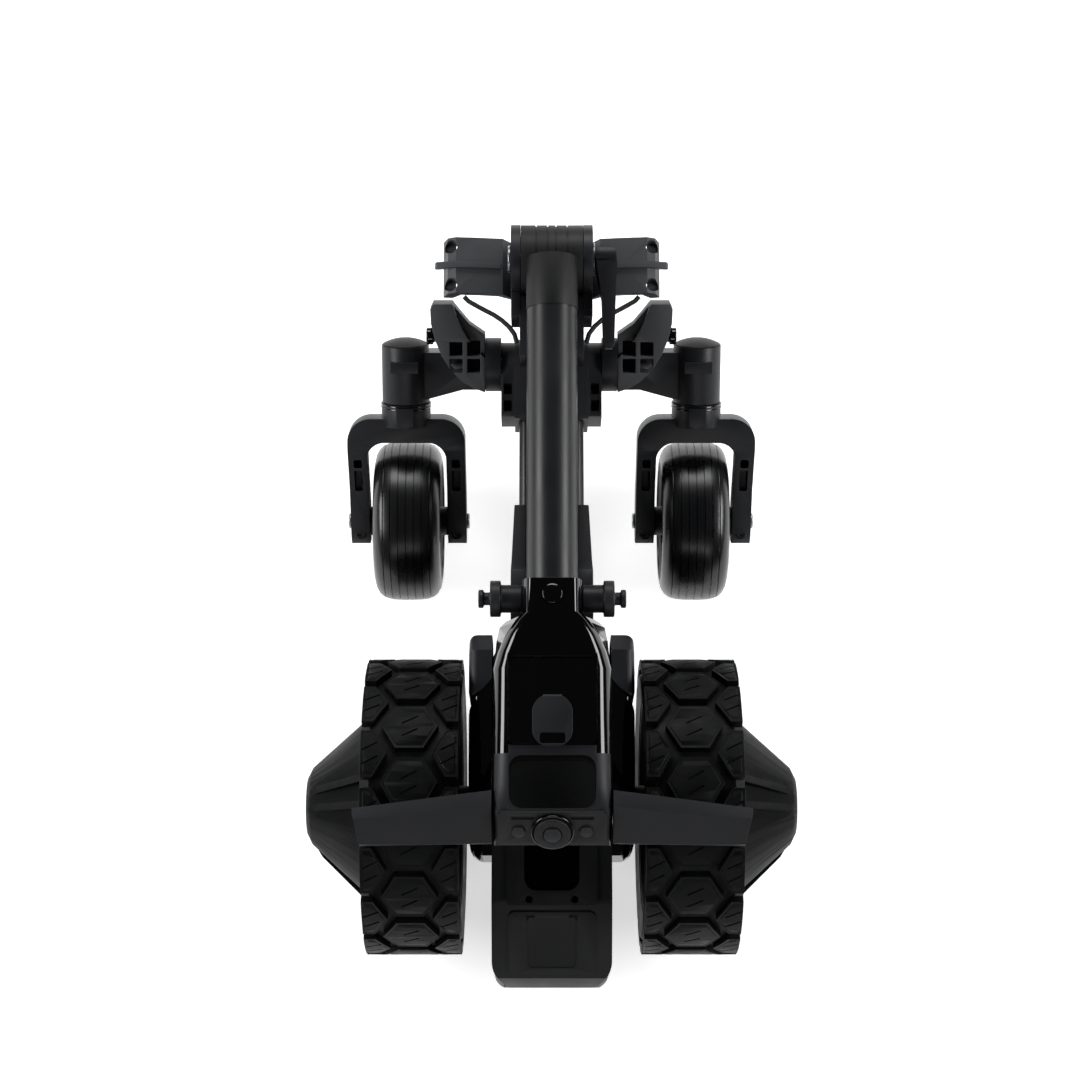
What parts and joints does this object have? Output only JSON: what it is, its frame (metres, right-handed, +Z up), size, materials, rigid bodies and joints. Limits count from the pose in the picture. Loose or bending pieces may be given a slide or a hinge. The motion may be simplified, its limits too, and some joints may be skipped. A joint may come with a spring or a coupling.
{
  "type": "electric golf trolley",
  "caption": "Folding electric golf trolley in its folded state, with driven rear wheels, swivelling front castors, bag cradles, a folding mast and a handle head with controls.",
  "frame": {"origin": "bounding box bottom centre, on the floor between the drive wheels and the castors", "axes": "+X to the trolley's right seen from behind, +Y forwards towards the castors and hinge drum, +Z up"},
  "size_m": [0.481, 0.7195, 0.3801],
  "materials": {
    "gloss_black_shell": "high gloss moulded ABS",
    "satin_black_nylon": "satin glass-filled nylon, fine texture",
    "charcoal_powder_coat": "satin charcoal powder coat on aluminium tube",
    "tread_rubber": "matte black rubber",
    "soft_grip_rubber": "soft-touch rubber",
    "plated_steel": "zinc plated steel",
    "cast_aluminium": "die-cast aluminium",
    "battery_case": "matte moulded case",
    "circuit_board": "solder-masked laminate",
    "bungee_fabric": "braided polyester sheath over rubber"
  },
  "bodies": {
    "chassis": {"chassis_shell": "gloss_black_shell", "belly_cover": "satin_black_nylon", "battery_pack": "battery_case", "controller_board": "circuit_board", "tail_panel": "satin_black_nylon", "tail_cover": "satin_black_nylon", "gear_cover_left": "satin_black_nylon", "gear_cover_right": "satin_black_nylon", "gearmotor_left": "cast_aluminium", "gearmotor_right": "cast_aluminium", "neck_housing": "satin_black_nylon", "lower_frame_tube": "charcoal_powder_coat", "front_yoke": "satin_black_nylon", "front_pin": "plated_steel", "mast_pin": "plated_steel", "cover_screws": "plated_steel"},
    "drive_wheel_left": {"drive_tyre_left": "tread_rubber", "drive_hub_left": "satin_black_nylon", "drive_shaft_left": "plated_steel"},
    "drive_wheel_right": {"drive_tyre_right": "tread_rubber", "drive_hub_right": "satin_black_nylon", "drive_shaft_right": "plated_steel"},
    "front_frame": {"front_beam": "satin_black_nylon", "castor_caps": "satin_black_nylon", "lower_cradle_left": "satin_black_nylon", "lower_cradle_right": "satin_black_nylon", "strap_knobs": "gloss_black_shell", "cradle_bumpers": "soft_grip_rubber"},
    "castor_left": {"castor_fork_left": "satin_black_nylon", "castor_axle_left": "plated_steel"},
    "castor_right": {"castor_fork_right": "satin_black_nylon", "castor_axle_right": "plated_steel"},
    "castor_wheel_left": {"castor_tyre_left": "tread_rubber", "castor_hub_left": "satin_black_nylon"},
    "castor_wheel_right": {"castor_tyre_right": "tread_rubber", "castor_hub_right": "satin_black_nylon"},
    "mast": {"mast_foot": "satin_black_nylon", "mast_tube": "charcoal_powder_coat", "mast_head": "gloss_black_shell", "upper_cradle": "satin_black_nylon", "bungee_cords": "bungee_fabric", "hinge_bolt": "plated_steel"},
    "cam_lever": {"cam_lever": "satin_black_nylon"},
    "handle": {"handle_hinge": "satin_black_nylon", "handle_tube": "charcoal_powder_coat", "head_shell": "gloss_black_shell", "console_panel": "satin_black_nylon", "grip_left": "soft_grip_rubber", "grip_right": "soft_grip_rubber", "accessory_post_left": "satin_black_nylon", "accessory_post_right": "satin_black_nylon"},
    "lid": {"compartment_lid": "gloss_black_shell"},
    "latch": {"lid_latch": "gloss_black_shell"},
    "dial": {"dial_ring": "gloss_black_shell"},
    "dial_push": {"dial_button": "satin_black_nylon"},
    "panel_button_left": {"panel_button_left": "satin_black_nylon"},
    "panel_button_right": {"panel_button_right": "satin_black_nylon"},
    "neck_button": {"neck_button": "gloss_black_shell"}
  },
  "joints": [
    {"name": "drive_spin_left", "type": "hinge", "parent": "chassis", "child": "drive_wheel_left", "pos_m": [-0.134, -0.1827, 0.145], "axis": [1, 0, 0], "continuous": true},
    {"name": "drive_spin_right", "type": "hinge", "parent": "chassis", "child": "drive_wheel_right", "pos_m": [0.134, -0.1827, 0.145], "axis": [1, 0, 0], "continuous": true},
    {"name": "front_fold", "type": "hinge", "parent": "chassis", "child": "front_frame", "pos_m": [0, 0.25422, 0.21517], "axis": [1, 0, 0], "range_deg": [0, 62]},
    {"name": "castor_swivel_left", "type": "hinge", "parent": "front_frame", "child": "castor_left", "pos_m": [-0.148, 0.2412, 0.18571], "axis": [0, 0.866, 0.5], "continuous": true},
    {"name": "castor_swivel_right", "type": "hinge", "parent": "front_frame", "child": "castor_right", "pos_m": [0.148, 0.2412, 0.18571], "axis": [0, 0.866, 0.5], "continuous": true},
    {"name": "castor_spin_left", "type": "hinge", "parent": "castor_left", "child": "castor_wheel_left", "pos_m": [-0.148, 0.1273, 0.083], "axis": [1, 0, 0], "continuous": true},
    {"name": "castor_spin_right", "type": "hinge", "parent": "castor_right", "child": "castor_wheel_right", "pos_m": [0.148, 0.1273, 0.083], "axis": [1, 0, 0], "continuous": true},
    {"name": "mast_fold", "type": "hinge", "parent": "chassis", "child": "mast", "pos_m": [0, 0.0023, 0.262], "axis": [1, 0, 0], "range_deg": [0, 71]},
    {"name": "handle_fold", "type": "hinge", "parent": "mast", "child": "handle", "pos_m": [0, 0.32222, 0.33017], "axis": [-1, 0, 0], "range_deg": [0, 120]},
    {"name": "cam_lever_turn", "type": "hinge", "parent": "mast", "child": "cam_lever", "pos_m": [0.0521, 0.32222, 0.33017], "axis": [0, -0.0694, 0.9976], "range_deg": [0, 100]},
    {"name": "lid_hinge", "type": "hinge", "parent": "handle", "child": "lid", "pos_m": [0, -0.07819, 0.34743], "axis": [-1, 0, 0], "range_deg": [0, 95]},
    {"name": "latch_hinge", "type": "hinge", "parent": "lid", "child": "latch", "pos_m": [0, -0.11342, 0.34955], "axis": [-1, 0, 0], "range_deg": [0, 60]},
    {"name": "dial_turn", "type": "hinge", "parent": "handle", "child": "dial", "pos_m": [0, -0.23228, 0.31538], "axis": [0, -0.7545, 0.6564], "continuous": true},
    {"name": "dial_press", "type": "slide", "parent": "dial", "child": "dial_push", "axis": [0, 0.7545, -0.6564], "range_m": [0, 0.0015], "stiffness_N_per_m": 900},
    {"name": "panel_press_left", "type": "slide", "parent": "handle", "child": "panel_button_left", "axis": [0, 0.7545, -0.6564], "range_m": [0, 0.0015], "stiffness_N_per_m": 700},
    {"name": "panel_press_right", "type": "slide", "parent": "handle", "child": "panel_button_right", "axis": [0, 0.7545, -0.6564], "range_m": [0, 0.0015], "stiffness_N_per_m": 700},
    {"name": "neck_press", "type": "slide", "parent": "handle", "child": "neck_button", "axis": [0, 0.0694, -0.9976], "range_m": [0, 0.0015], "stiffness_N_per_m": 700}
  ],
  "couplings": [
    {"joint": "handle_fold", "follows": "mast_fold", "ratio": 1.69}
  ]
}
